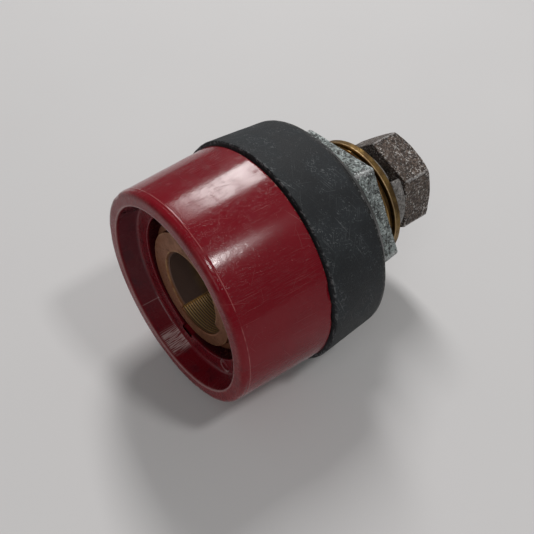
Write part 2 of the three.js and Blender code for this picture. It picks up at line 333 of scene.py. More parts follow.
BACK_CHIPS = 16
RIM_CHIPS = 9


def shroud_mesh():
    slot_edges = [(PIN_ANGLE + side * PIN_SLOT_HALF_ANGLE, 0.06, 0.06) for side in (-1, 1)]
    angles = spread(240, *slot_edges, (MARK_ANGLE, 7, 0.5))
    radius, station = profile([
        (FLANGE_BORE_RADIUS, FLOOR_Y, 0.15, 0.16),
        (MOUTH_FLOOR_RADIUS, FLOOR_Y, 0.6, 0.4),
        (MOUTH_RADIUS, RIM_Y, 0.22, 0.3),
        (RIM_RADIUS, RIM_Y, RIM_ROUND, 0.09),
        (RIM_RADIUS + 0.12, RIM_Y + RIM_ROUND + 0.35, 0, 0.5),
        (SHROUD_RADIUS - 0.09, -1.5, 0, 0.15),
        (SHROUD_RADIUS, 0, 0.3, 0.6),
        (SPIGOT_RADIUS, 0, 0, 0.6),
        (SPIGOT_RADIUS, SPIGOT_END_Y, 0.4, 0.6),
        (SPIGOT_BORE_RADIUS, SPIGOT_END_Y, 0.1, 1),
        (SPIGOT_BORE_RADIUS, SHOULDER_Y, 0, 0.5),
        (FLANGE_BORE_RADIUS, SHOULDER_Y, 0, 0.6),
    ], len(angles))
    in_slot = abs(away(angles, PIN_ANGLE)) < PIN_SLOT_HALF_ANGLE
    bore_wall = (radius < FLANGE_BORE_RADIUS + 0.16) & (station < SHOULDER_Y - 0.01)
    radius = np.where(bore_wall & in_slot, PIN_SLOT_RADIUS, radius)
    between_walls = (radius > FLANGE_BORE_RADIUS + 0.2) & (radius < MOUTH_FLOOR_RADIUS - 0.2)
    on_floor = (station < FLOOR_Y + 0.01) & between_walls
    from_mark = np.hypot(radius - MARK_RADIUS, MARK_RADIUS * np.radians(away(angles, MARK_ANGLE)))
    dent = np.clip(1 - abs(from_mark - MARK_HALF_WIDTH) / 0.22, 0, 1)
    station = station + on_floor * MARK_DEPTH * dent
    outside = radius > RIM_RADIUS - 0.9
    random = np.random.default_rng(5)
    for edge_y, chips, deepest in ((0, BACK_CHIPS, 0.3), (RIM_Y + 0.3, RIM_CHIPS, 0.22)):
        for _ in range(chips):
            centre, width = random.uniform(0, 360), random.uniform(0.5, 1.9)
            height, depth = random.uniform(0.3, 0.9), random.uniform(0.3, 1) * deepest
            across = radius * np.radians(away(angles, centre)) / width
            hollow = np.clip(1 - across ** 2 - ((station - edge_y) / height) ** 2, 0, 1)
            radius = radius - outside * depth * hollow ** 0.5
    bead = np.clip(1 - abs(station - RIM_Y - RIM_ROUND - 0.02) / 0.13, 0, 1)
    waves = roughness_of(radius, station, angles, 9)
    radius = radius + outside * (bead * MOULD_LINE - 0.03 * (1 + waves))
    return skin("shroud_moulding", radius, station, angles)


def recess_marks_and_light(place, wall, inside):
    """Fields of the recess: its painted grey sheen, its streaked painted highlight, all its pale marks and
    painted highlights, and its black smear with the painted shade in the gap.
    """
    radius, station, degrees = around(place)
    recess_wall = inside * radius.rise(MOUTH_FLOOR_RADIUS - 0.1, MOUTH_FLOOR_RADIUS)
    # Painted reflection: a grey sheen on the left side of the recess wall.
    painted_grey_sheen = recess_wall * degrees.rise(-165, -115) * degrees.rise(20, -10)
    # A highlight is painted low on the recess wall, as a patch with scuff streaks; the streaks also roughen
    # it.
    highlight_patch = degrees.near(-164, 13).rise(0, 0.6) * recess_wall
    scuffed_highlight = wall.streaks(87, 2.2, 0.22, 0.44, 27) * highlight_patch
    hairline = degrees.near(-134, 0.4) * recess_wall
    # A highlight is painted along the mouth's inner edge.
    mouth_edge_highlight = station.near(RIM_Y + 0.1, 0.3) * radius.near(MOUTH_RADIUS + 0.1, 0.3)
    x, _, z = place.split()
    across = x - MARK_RADIUS * math.cos(math.radians(MARK_ANGLE))
    up = z - MARK_RADIUS * math.sin(math.radians(MARK_ANGLE))
    # A highlight is painted along the edge of the ejector mark's ring.
    ejector_ring_highlight = ((across * across + up * up) ** 0.5).near(MARK_HALF_WIDTH + 0.1, 0.16)
    ejector_ring_highlight = ejector_ring_highlight * inside * (1 - recess_wall)
    pale = ejector_ring_highlight * 0.5 + highlight_patch * 0.12 + scuffed_highlight * 0.8 + hairline * 0.5 + mouth_edge_highlight * 0.6
    smear = degrees.near(-56, 5) * recess_wall * place.cloud(0.6, 2, 0.5, 41).rise(0.46, 0.54)
    # Shade is painted into the gap round the contact, behind the recess's floor.
    gap_shade = radius.rise(FLANGE_BORE_RADIUS + 0.3, FLANGE_BORE_RADIUS + 0.1)
    gap_shade = gap_shade * station.rise(FLOOR_Y + 0.1, FLOOR_Y + 0.6)
    return painted_grey_sheen, scuffed_highlight, pale.at_most(1), (smear * 0.9 + gap_shade * 0.75).at_most(1)


def red_moulding():
    material, inputs, place = new_finish("red_moulding", Specular_IOR_Level=0.2, Coat_Roughness=0.16)
    radius, station, degrees = around(place)
    wall = (degrees * (math.radians(1) * SHROUD_RADIUS)).join(station, 0)
    outside = radius.rise(RIM_RADIUS - 1.2, RIM_RADIUS - 0.6)
    inside = (1 - outside) * station.rise(RIM_Y + 0.2, RIM_Y + 0.9)
    rubbed = place.cloud(5, 3, 0.6, 2).rise(0.44, 0.66)
    scratches = [    # degrees from the girth, length, width, least and shift
        (87, 8, 0.10, 0.765, 0), (66, 12, 0.11, 0.80, 3), (28, 7, 0.12, 0.83, 5), (-8, 6, 0.10, 0.83, 7),
        (-40, 8, 0.12, 0.83, 9),
    ]
    scratched = sum(wall.streaks(*scratch) for scratch in scratches).at_most(1)
    fine_marks = wall.streaks(88, 2.2, 0.09, 0.60, 11) * (0.3 + rubbed)
    pitted = place.cloud(4, 2, 0.5, 17).rise(0.5, 0.62) * 0.15
    pitted = pitted + degrees.near(33, 10).rise(0, 0.5) * station.near(RIM_Y + 3.2, 4).rise(0, 0.7)
    pits = place.cloud(0.62, 1, 0.5, 15).rise(0.50, 0.60) * pitted.at_most(1)
    specks = place.cloud(0.33, 1, 0.5, 19).rise(0.74, 0.79)
    # The mould line is painted pale, partly as wear and partly as a highlight along the rim's rounding.
    rim_line_wear_and_highlight = station.near(RIM_Y + RIM_ROUND + 0.05, 0.13) * outside
    rim_line_wear_and_highlight = rim_line_wear_and_highlight * place.cloud(2.5, 2, 0.5, 21).rise(0.36, 0.52)
    land_wear = station.near(RIM_Y, 0.9) * place.cloud(1.8, 3, 0.6, 23).rise(0.34, 0.66)
    edge_chips = station.near(-0.1, 0.4) * outside * place.cloud(0.45, 2, 0.5, 43).rise(0.60, 0.66)
    back_wear = station.near(0, 0.4) * place.cloud(0.7, 3, 0.6, 25).rise(0.52, 0.66)
    soiled = place.cloud(2.6, 4, 0.65, 31).rise(0.50, 0.64) * inside
    painted_grey_sheen, scuffed_highlight, pale_marks_and_highlights, smear_and_gap_shade = recess_marks_and_light(place, wall, inside)
    wear_and_rim_highlight = (scratched * 0.22 + specks * 0.3 + rim_line_wear_and_highlight * 0.45 + back_wear * 0.5).at_most(1)
    red = place.cloud(11, 3, 0.5, 33).pick(colour(0.212, 0.0042, 0.0120), colour(0.152, 0.0033, 0.0090))
    # Pale wear, together with the highlight painted along the mould line.
    red = wear_and_rim_highlight.pick(red, colour(0.50, 0.19, 0.18))
    red = (land_wear * 0.22 + fine_marks * 0.03).at_most(1).pick(red, colour(0.34, 0.06, 0.06))
    # The recess is darkened a little all over as painted shade, and more in patches of dirt.
    red = (soiled * 0.3 + inside * 0.15).at_most(1).pick(red, colour(0.045, 0.012, 0.018))
    # The grey sheen painted on the recess wall's left side.
    red = (painted_grey_sheen * 0.45).pick(red, colour(0.10, 0.062, 0.070))
    # Pale marks: a real hairline scratch, and highlights painted on the ejector ring, the mouth's edge and
    # the lower recess wall.
    red = pale_marks_and_highlights.pick(red, colour(0.52, 0.36, 0.35))
    # Black: a real smear, and painted shade in the gap round the contact.
    red = smear_and_gap_shade.pick(red, colour(0.012, 0.005, 0.006))
    red = (edge_chips * 0.8).pick(red, colour(0.30, 0.20, 0.16))
    red.feeds(inputs["Base Color"])
    matt = 0.13 + pits * 0.3 + fine_marks * 0.14 + scratched * 0.25 + rubbed * 0.08
    matt = matt + inside * 0.10 + land_wear * 0.16 + scuffed_highlight * 0.2
    matt.feeds(inputs["Roughness"])
    polished = (degrees.rise(-32, -8) * 0.15 + degrees.rise(14, 28) * 0.45) * degrees.rise(80, 45)
    polished = polished * station.rise(RIM_Y + 0.8, RIM_Y + 2) * (1 - rubbed * 0.4) * outside
    (polished + inside * 0.3).feeds(inputs["Coat Weight"])
    height = 0.5 - scratched * 0.35 - fine_marks * 0.30 - pits + place.cloud(1.5, 2, 0.5, 35) * 0.16
    height.bump(0.05, 0.7).feeds(inputs["Normal"])
    return material


shroud = shroud_mesh()
shade(shroud)
fit_out(shroud, red_moulding(), "socket_body", "shroud")


# ---- locating pin -------------------------------------------------------------------------------
# A short ground steel pin pressed into the side of the contact's flange. It stands out into a slot in
# the shroud's bore and keeps the contact from turning when a plug is twisted home.
PIN_RADIUS = (PIN_REAR_Y - PIN_FRONT_Y) / 2
PIN_END_RADIUS = FLANGE_RADIUS + PIN_PROUD
PIN_LENGTH = 3


def across_axis(piece, degrees, station):
    """Turns a piece made on the Y axis so that it points away from that axis at an angle."""
    out = Matrix.Rotation(-math.radians(degrees), 4, "Y") @ Matrix.Rotation(-math.pi / 2, 4, "Z")
    piece.data.transform(Matrix.Translation((0, station * MM, 0)) @ out)


def pin_mesh(name, radius, from_radius, to_radius, edge):
    """A pin that points away from the axis, between two radii of the socket."""
    angles = spread(48)
    rows = profile([
        (0, from_radius, 0, 0.3),
        (radius, from_radius, edge, 0.4),
        (radius, to_radius, edge, 0.3),
        (0, to_radius, 0, 1),
    ], len(angles), closed=False)
    piece = skin(name, *rows, angles, closed=False)
    across_axis(piece, PIN_ANGLE, PIN_Y)
    return piece


def pin_steel():
    material, inputs, place = new_finish("pin_steel", Metallic=1.0)
    stained = place.cloud(0.7, 3, 0.6).rise(0.4, 0.7)
    stained.pick(colour(0.34, 0.33, 0.33), colour(0.16, 0.13, 0.11)).feeds(inputs["Base Color"])
    (0.32 + stained * 0.25).feeds(inputs["Roughness"])
    return material


pin = pin_mesh("locating_pin_steel", PIN_RADIUS, PIN_END_RADIUS - PIN_LENGTH, PIN_END_RADIUS, 0.15)
shade(pin)
fit_out(pin, pin_steel(), "socket_body", "locating_pin")


# ---- contact ------------------------------------------------------------------------------------
# One brass turning: the bore for the plug with its milled keyway and locking groove, the flange, the
# M24 x 1.5 stud for the clamp nut, and the tapped hole for the terminal bolt. Its face is tarnished
# brown, the keyway's floor keeps the ridges of the cutter with a highlight painted on their tops, and the
# stud's thread is darker in its roots.
BORE_RADIUS = 6.6
BORE_CHAMFER = 0.45
KEYWAY_DEPTH = 1.7
KEYWAY_RADIUS = BORE_RADIUS + KEYWAY_DEPTH
KEYWAY_FROM = 244                # degrees from +X towards +Z
KEYWAY_TO = 339
KEYWAY_EDGE = 0.2                # how far the keyway's corner is broken at the face
KEYWAY_LENGTH = 8.5
LOCK_GROOVE_WIDTH = 3.5
LOCK_GROOVE_FRONT_Y = CONTACT_FACE_Y + KEYWAY_LENGTH
LOCK_GROOVE_REAR_Y = LOCK_GROOVE_FRONT_Y + LOCK_GROOVE_WIDTH
FLANGE_THICKNESS = 3.3
FLANGE_FRONT_Y = FLANGE_REAR_Y - FLANGE_THICKNESS
COLLAR_LENGTH = 2.05
COLLAR_RELIEF = 0.2              # the collar is turned down this much from the stud
COLLAR_Y = FLANGE_FRONT_Y - COLLAR_LENGTH
COLLAR_RADIUS = STUD_RADIUS - COLLAR_RELIEF
FACE_RELIEF = 1.3                # and the end face this much from the collar
FACE_RADIUS = COLLAR_RADIUS - FACE_RELIEF
STUD_CHAMFER = 0.8
BOLT_TIP_Y, HEAD_REAR_Y, _ = extent("terminal_bolt")
BOLT_RADIUS = 5
HOLE_SPARE = 0.65                # depth of the tapped hole past the bolt's tip
HOLE_CHAMFER = 0.4
WEB = 2.5                        # solid brass between the tapped hole and the bore
TAPPED_HOLE_Y = BOLT_TIP_Y - HOLE_SPARE
BORE_END_Y = TAPPED_HOLE_Y - WEB
STUD_THREAD_Y = SPIGOT_END_Y + 0.5
THREAD_PITCH = 1.5
THREAD_DEPTH = 0.541 * THREAD_PITCH
THREAD_PLAY = 0.1                # radial, between a thread and the thread it runs in
RIDGE_PITCH = 0.45
RIDGE_DEPTH = 0.12
TURNING_WAVES = 34               # radians of the face's turning marks per millimetre of radius


def groove_cutter():
    """Geometry nodes that cut a thread (Turn 1) or plain rings (Turn 0) into the points where the
    attribute named by Where is above 0, by up to Depth below the radius Crest, in metres."""
    tree = bpy.data.node_groups.new("groove_cutter", "GeometryNodeTree")
    kinds = {"Geometry": "Geometry", "Where": "String", "Pitch": "Float", "Crest": "Float", "Depth": "Float",
             "Turn": "Float", "Material": "Material"}
    for name, kind in kinds.items():
        tree.interface.new_socket(name, in_out="INPUT", socket_type="NodeSocket" + kind)
    tree.interface.new_socket("Geometry", in_out="OUTPUT", socket_type="NodeSocketGeometry")
    given = {socket.name: Field(socket) for socket in tree.nodes.new("NodeGroupInput").outputs}
    place = given["Pitch"].node("GeometryNodeInputPosition")
    where = place.node("GeometryNodeInputNamedAttribute", {"data_type": "FLOAT"}, {"Name": given["Where"]})
    x, y, z = place.split()
    radius = (x * x + z * z) ** 0.5
    turns = x.maths("ARCTAN2", x, z) / math.tau * given["Turn"]
    phase = turns.maths("FRACT", y / given["Pitch"] - turns)
    flank = {"Value": abs(phase * 2 - 1), "From Min": 0.25, "From Max": 0.875, "To Min": 1.0, "To Max": 0.0}
    share = phase.node("ShaderNodeMapRange", {}, flank)
    shrink = radius.at_most(given["Crest"] - given["Depth"] * share * where) / radius
    moved = place.times(shrink.join(1.0, shrink))
    chosen = where.maths("GREATER_THAN", where, 0.0)
    grooved = place.node("GeometryNodeSetPosition", {}, {
        "Geometry": given["Geometry"], "Selection": chosen, "Position": moved})
    whole = grooved.node("GeometryNodeRealizeInstances", {}, {"Geometry": grooved})
    whole = whole.node("GeometryNodeSetMaterial", {}, {"Geometry": whole, "Material": given["Material"]})
    end = tree.nodes.new("NodeGroupOutput")
    tree.links.new(whole.socket, end.inputs["Geometry"])
    return tree


def plain_mesh(piece):
    """Puts a piece's modifiers into its mesh."""
    bpy.context.view_layer.update()
    mesh = bpy.data.meshes.new_from_object(piece.evaluated_get(bpy.context.evaluated_depsgraph_get()))
    piece.modifiers.clear()
    piece.data = mesh


def cut(where, pitch, crest_radius, depth, turn):
    """The cutter's inputs by name, from sizes in millimetres."""
    lengths = {"Pitch": pitch * MM, "Crest": crest_radius * MM, "Depth": depth * MM}
    return {"Where": where, "Turn": turn, **lengths}


def thread(where, crest_radius):
    return cut(where, THREAD_PITCH, crest_radius, THREAD_DEPTH, 1.0)


def groove(piece, material, *cuts):
    """Makes each cut in a piece, and leaves a plain mesh."""
    for given in cuts:
        modifier = piece.modifiers.new("grooves", "NODES")
        modifier.node_group = cutter
        values = dict(given, Material=material)
        for item in cutter.interface.items_tree:
            if item.in_out == "INPUT" and item.name in values:
                modifier[item.identifier] = values[item.name]
    plain_mesh(piece)


def bore_a_hole(piece, drill):
    """Takes the drill's shape out of a piece."""
    modifier = piece.modifiers.new("hole", "BOOLEAN")
    modifier.operation = "DIFFERENCE"
    modifier.solver = "EXACT"
    modifier.object = drill
    plain_mesh(piece)
    bpy.data.objects.remove(drill)


def contact_mesh():
    angles = spread(180, (KEYWAY_FROM, 0.06, 0.06), (KEYWAY_TO, 0.06, 0.06))
    hole_radius = BOLT_RADIUS + THREAD_PLAY
    radius, station = profile([
        (0, BORE_END_Y, 0, 1),
        (BORE_RADIUS, BORE_END_Y, 0.2, 0.8),
        (BORE_RADIUS, LOCK_GROOVE_REAR_Y, 0.1, 0.4),
        (KEYWAY_RADIUS, LOCK_GROOVE_REAR_Y, 0, 0.6),
        (KEYWAY_RADIUS, LOCK_GROOVE_FRONT_Y, 0, 0.4),
        (BORE_RADIUS, LOCK_GROOVE_FRONT_Y, 0.1, 0.075),
        (BORE_RADIUS, CONTACT_FACE_Y + BORE_CHAMFER, 0, 0.1),
        (BORE_RADIUS + BORE_CHAMFER, CONTACT_FACE_Y, 0.08, 0.3),
        (FACE_RADIUS, CONTACT_FACE_Y, 0.2, 0.4),
        (FACE_RADIUS, COLLAR_Y, 0.05, 0.4),
        (COLLAR_RADIUS, COLLAR_Y, 0.12, 0.5),
        (COLLAR_RADIUS, FLANGE_FRONT_Y, 0.05, 0.4),
        (FLANGE_RADIUS, FLANGE_FRONT_Y, 0.12, 0.4),
        (FLANGE_RADIUS, FLANGE_REAR_Y, 0.12, 0.4),
        (STUD_RADIUS, FLANGE_REAR_Y, 0, 0.8),
        (STUD_RADIUS, STUD_THREAD_Y, 0, 0.11),
        (STUD_RADIUS, STUD_END_Y - STUD_CHAMFER, 0, 0.1),
        (STUD_RADIUS - STUD_CHAMFER, STUD_END_Y, 0.1, 0.5),
        (hole_radius + HOLE_CHAMFER, STUD_END_Y, 0, 0.2),
        (hole_radius, STUD_END_Y - HOLE_CHAMFER, 0, 0.15),
        (hole_radius, TAPPED_HOLE_Y, 0.1, 1),
        (0, TAPPED_HOLE_Y, 0, 1),
    ], len(angles), closed=False)
    in_keyway = (away(angles, KEYWAY_FROM) > 0) & (away(angles, KEYWAY_TO) < 0)
    bore_wall = (radius > BORE_RADIUS - 0.25) & (radius < KEYWAY_RADIUS)
    milled = bore_wall & (station < LOCK_GROOVE_FRONT_Y + 0.15) & in_keyway
    radius = np.where(milled, KEYWAY_RADIUS, radius)
    at_face = (station < CONTACT_FACE_Y + 0.03) & (radius < KEYWAY_RADIUS + KEYWAY_EDGE) & in_keyway
    radius = np.where(at_face, KEYWAY_RADIUS + KEYWAY_EDGE, radius)
    ridges = np.clip((station - CONTACT_FACE_Y - 0.1) / 0.4, 0, 1)
    ridges = milled * ridges * np.clip((LOCK_GROOVE_FRONT_Y - 0.2 - station) / 0.3, 0, 1)
    behind_flange = station > FLANGE_REAR_Y
    on_stud = behind_flange & (radius > STUD_RADIUS - 1)
    in_hole = behind_flange & (radius < hole_radius + 0.5) & (radius > 3) & (station > TAPPED_HOLE_Y + 0.3)
    return skin("contact_turning", radius, station, angles, closed=False, attributes={
        "stud_thread": on_stud * np.clip(station - STUD_THREAD_Y, 0, 1),
        "hole_thread": in_hole * np.clip(station - TAPPED_HOLE_Y - 0.3, 0, 1),
        "keyway_ridges": ridges,
    })


def contact_brass():
    material, inputs, place = new_finish("contact_brass", Metallic=1.0)
    radius, station, _ = around(place)
    front = station.rise(FLANGE_REAR_Y, FLANGE_FRONT_Y)
    face = station.rise(CONTACT_FACE_Y + 0.35, CONTACT_FACE_Y + 0.1)
    in_bore = radius.rise(KEYWAY_RADIUS + 0.3, KEYWAY_RADIUS - 0.2)
    in_bore = in_bore * station.rise(CONTACT_FACE_Y, CONTACT_FACE_Y + 0.6)
    tarnish = place.cloud(2.6, 4, 0.6, 3).rise(0.35, 0.68)
    spots = place.cloud(0.5, 3, 0.6, 6).rise(0.58, 0.68)
    turning_marks = radius.maths("SINE", radius * TURNING_WAVES) * 0.5 + 0.5
    edges = (radius.near(FACE_RADIUS - 0.1, 0.22) + radius.near(BORE_RADIUS + BORE_CHAMFER, 0.3)) * face
    edges = (edges * place.cloud(1.2, 2, 0.5, 8).rise(0.35, 0.6) * 0.6).at_most(1)
    brown = tarnish.pick(colour(0.26, 0.102, 0.043), colour(0.165, 0.068, 0.030))
    brown = place.split()[0].rise(-2, -10).pick(brown, colour(0.21, 0.078, 0.032))
    brown = edges.pick(brown, colour(0.45, 0.28, 0.13))
    brown = (spots * 0.6).pick(brown, colour(0.055, 0.035, 0.022))
    browned = place.cloud(1.5, 3, 0.6, 10).rise(0.35, 0.65)
    golden = browned.pick(colour(0.50, 0.32, 0.11), colour(0.34, 0.20, 0.08))
    # The stud is darker below its thread's crests: in the thread's roots and on its end face.
    darker_below_crests = radius.rise(STUD_RADIUS - 0.15, STUD_RADIUS - 0.6)
    darker_below_crests = darker_below_crests * radius.rise(BOLT_RADIUS + 2, BOLT_RADIUS + 3)
    golden = (darker_below_crests * 0.85).pick(golden, colour(0.07, 0.04, 0.02))
    # A highlight is painted on the tops of the keyway's ridges, which also stay metallic.
    ridge_top_highlights = radius.rise(KEYWAY_RADIUS - 0.03, KEYWAY_RADIUS - 0.1)
    ridge_top_highlights = ridge_top_highlights * radius.rise(BORE_RADIUS + 0.6, BORE_RADIUS + 0.9)
    bore = (ridge_top_highlights * 0.8).pick(colour(0.125, 0.078, 0.062), colour(0.70, 0.49, 0.18))
    front.pick(golden, in_bore.pick(brown, bore)).feeds(inputs["Base Color"])
    (1 - in_bore * front * (1 - ridge_top_highlights) * 0.75).feeds(inputs["Metallic"])
    (0.36 + tarnish * 0.16 + spots * 0.2 - in_bore * 0.05).feeds(inputs["Roughness"])
    (turning_marks * 0.4 * face + place.cloud(0.4, 3, 0.6, 1)).bump(0.03, 0.6).feeds(inputs["Normal"])
    return material


cutter = groove_cutter()
contact = contact_mesh()
hole_bottom = PIN_END_RADIUS - PIN_LENGTH - SEAT_GAP
bore_a_hole(contact, pin_mesh("pin_drill", PIN_RADIUS + SEAT_GAP, hole_bottom, PIN_END_RADIUS, 0))
brass = contact_brass()
groove(
    contact, brass,
    thread("stud_thread", STUD_RADIUS),
    thread("hole_thread", BOLT_RADIUS + THREAD_PLAY),
    cut("keyway_ridges", RIDGE_PITCH, KEYWAY_RADIUS, RIDGE_DEPTH, 0.0),
)
shade(contact)
fit_out(contact, brass, "socket_body", "contact_socket")


# ---- insulating ring ----------------------------------------------------------------------------
# A thick moulded rubber ring that slips over the stud and the shroud's spigot and presses on the back
# of the panel. It is matt black, dusty and scuffed, with a ragged lip of flash along its front edge.
RING_FRONT_Y, RING_REAR_Y, RING_RADIUS = extent("insulating_ring")
RING_DRAFT = 0.6
RING_REAR_RADIUS = RING_RADIUS - RING_DRAFT
RING_CHAMFER = 2
RING_CHAMFER_Y = RING_REAR_Y - RING_CHAMFER
RING_PLAY = 0.5                  # radial, around the stud
RING_BORE_RADIUS = STUD_RADIUS + RING_PLAY
RING_RECESS_RADIUS = SPIGOT_RADIUS + SEAT_GAP
RING_RECESS_Y = SPIGOT_END_Y + SEAT_GAP


def ring_mesh():
    angles = spread(300)
    radius, station = profile([
        (RING_RECESS_RADIUS, RING_FRONT_Y, 0.1, 0.5),
        (RING_RADIUS - 0.15, RING_FRONT_Y, 0, 0.12),
        (RING_RADIUS, RING_FRONT_Y + 0.08, 0.05, 0.12),
        (RING_RADIUS - 0.03, RING_FRONT_Y + 0.8, 0, 0.35),
        (RING_REAR_RADIUS, RING_CHAMFER_Y, 0.25, 0.3),
        (RING_REAR_RADIUS - RING_CHAMFER, RING_REAR_Y, 0.3, 0.5),
        (RING_BORE_RADIUS, RING_REAR_Y, 0.3, 0.6),
        (RING_BORE_RADIUS, RING_RECESS_Y, 0, 0.6),
        (RING_RECESS_RADIUS, RING_RECESS_Y, 0, 0.8),
    ], len(angles))
    outside = np.clip(radius - RING_RECESS_RADIUS - 1, 0, 1)
    lip = np.clip(1 - (station - RING_FRONT_Y) / 0.3, 0, 1) * np.clip((radius - RING_RADIUS + 1) / 0.7, 0, 1)
    ragged = roughness_of(radius, station * 0, angles, 0.9)
    ragged = ragged + 0.7 * roughness_of(radius, station * 0 + 40, angles, 3.5)
    lumps = roughness_of(radius, station, angles, 5) + 0.6 * roughness_of(radius, station, angles, 1.6)
    radius = radius - lip * 0.12 * (0.6 + ragged).clip(0, 2) - outside * 0.03 * (1.4 + lumps)
    return skin("insulating_ring_rubber", radius, station, angles)


def black_rubber():
    material, inputs, place = new_finish("black_rubber", Specular_IOR_Level=0.3)
    radius, station, degrees = around(place)
    wall = (degrees * (math.radians(1) * RING_RADIUS)).join(station, 0)
    dusty = place.cloud(5, 4, 0.6, 2).rise(0.38, 0.66)
    fluff = wall.streaks(50, 0.9, 0.22, 0.66, 9) + wall.streaks(-20, 0.8, 0.2, 0.68, 11)
    clumps = place.cloud(1.6, 3, 0.6, 6).rise(0.48, 0.62)
    specks = place.cloud(0.3, 2, 0.7, 5).rise(0.60, 0.66) * (0.3 + clumps) * (0.4 + dusty)
    dust = (specks + fluff * clumps * dusty).at_most(1)
    rubs = [(20, 5, 0.16, 0.74, 3), (75, 4, 0.14, 0.77, 5), (-35, 5, 0.14, 0.76, 7)]
    rub_marks = sum(wall.streaks(*rub) for rub in rubs) * (0.3 + dusty)
    # A dark band is painted as shade along the ring's outside just before its rear chamfer.
    chamfer_shade = station.rise(RING_CHAMFER_Y - 0.9, RING_CHAMFER_Y - 0.2)
    front_edge = station.near(RING_FRONT_Y, 0.35) * radius.rise(RING_RADIUS - 0.7, RING_RADIUS - 0.4)
    front_edge = front_edge * place.cloud(0.7, 3, 0.6, 9).rise(0.50, 0.6)
    black = dusty.pick(colour(0.0125, 0.0150, 0.0172), colour(0.024, 0.0285, 0.032))
    grey_marks = (dust * 0.5 + rub_marks.at_most(1) * 0.3 + front_edge * 0.7).at_most(1)
    black = grey_marks.pick(black, colour(0.17, 0.18, 0.185))
    # The shade painted before the rear chamfer.
    black = (chamfer_shade * 0.85).pick(black, colour(0.006, 0.006, 0.006))
    glints = station.near(RING_CHAMFER_Y - 0.2, 0.25) * place.cloud(0.6, 4, 0.75, 13).rise(0.52, 0.62)
    black = (glints * 0.6).pick(black, colour(0.30, 0.31, 0.31))
    black.feeds(inputs["Base Color"])
    (0.62 + dusty * 0.15 - chamfer_shade * 0.28 - rub_marks * 0.1).feeds(inputs["Roughness"])
    (place.cloud(0.3, 4, 0.65, 1) + place.cloud(2, 2, 0.5, 4) * 0.7).bump(0.14, 0.8).feeds(inputs["Normal"])
    return material


ring = ring_mesh()
shade(ring, 40)
fit_out(ring, black_rubber(), "rear_ring", "insulating_ring")


# ---- clamp nut ----------------------------------------------------------------------------------
# A thin hexagon nut, 27 mm across flats, on the stud's thread. It is hot-dip galvanised: mottled grey
# with pale bluish bloom, dark pits, and corners rubbed bright. Its chamfered face is towards the ring.
NUT_FRONT_Y, NUT_REAR_Y, _ = extent("clamp_nut")
NUT_ACROSS_FLATS = 27
NUT_CORNER = 1                   # degrees from +X towards +Z
NUT_BORE_CHAMFER = 0.45
CHAMFER_SLOPE = math.tan(math.radians(30))
CHAMFER_INSET = 0.3              # how far inside the flats an end face's circle lies


def hexagon_radius(angles, across_flats, corner_angle, corner_round):
    """The radius of a hexagon with rounded corners, at each angle."""
    flat = across_flats / 2
    from_corner = np.radians(abs(away(angles * 1.0, corner_angle) % 60 - 30) - 30)
    sharp = flat / np.cos(np.radians(30) - abs(from_corner))
    centre = (flat - corner_round) / math.cos(math.radians(30))
    under = np.clip(corner_round ** 2 - (centre * np.sin(from_corner)) ** 2, 0, None)
    return np.minimum(sharp, centre * np.cos(from_corner) + np.sqrt(under) + 10 * (under == 0))


def hexagon_angles(sides, corner_angle):
    return spread(sides, *[(corner_angle + 60 * k, 5, 0.5) for k in range(6)])


def corner_radius(across_flats):
    return across_flats / 2 / math.cos(math.radians(30))


def nut_mesh():
    angles = hexagon_angles(180, NUT_CORNER)
    side = hexagon_radius(angles, NUT_ACROSS_FLATS, NUT_CORNER, 0.5)
    end = NUT_ACROSS_FLATS / 2 - CHAMFER_INSET
    drop = (side - end) * CHAMFER_SLOPE
    bore = STUD_RADIUS + THREAD_PLAY
    radius, station = profile([
        (bore, NUT_FRONT_Y + NUT_BORE_CHAMFER, 0, 0.3),
        (bore + NUT_BORE_CHAMFER, NUT_FRONT_Y, 0, 0.5),
        (end, NUT_FRONT_Y, 0.1, 0.4),
        (side, NUT_FRONT_Y + drop, 0.14, 0.5),
        (side, NUT_REAR_Y, 0.22, 0.5),
        (bore + NUT_BORE_CHAMFER, NUT_REAR_Y, 0, 0.3),
        (bore, NUT_REAR_Y - NUT_BORE_CHAMFER, 0, 0.1),
    ], len(angles))
    in_bore = radius < bore + NUT_BORE_CHAMFER + 0.01
    outside = np.clip(radius - bore - 0.6, 0, 0.5) * 2
    lumps = roughness_of(radius, station, angles, 1.4) + 0.7 * roughness_of(radius, station, angles, 0.6)
    shrink = 1 - outside * 0.035 * (1.5 + lumps) / radius
    station = station + outside * 0.02 * np.sign(station.mean() - station) * (1 + lumps)
    return skin("clamp_nut_steel", radius * shrink, station, angles, attributes={"thread": in_bore * 1.0})


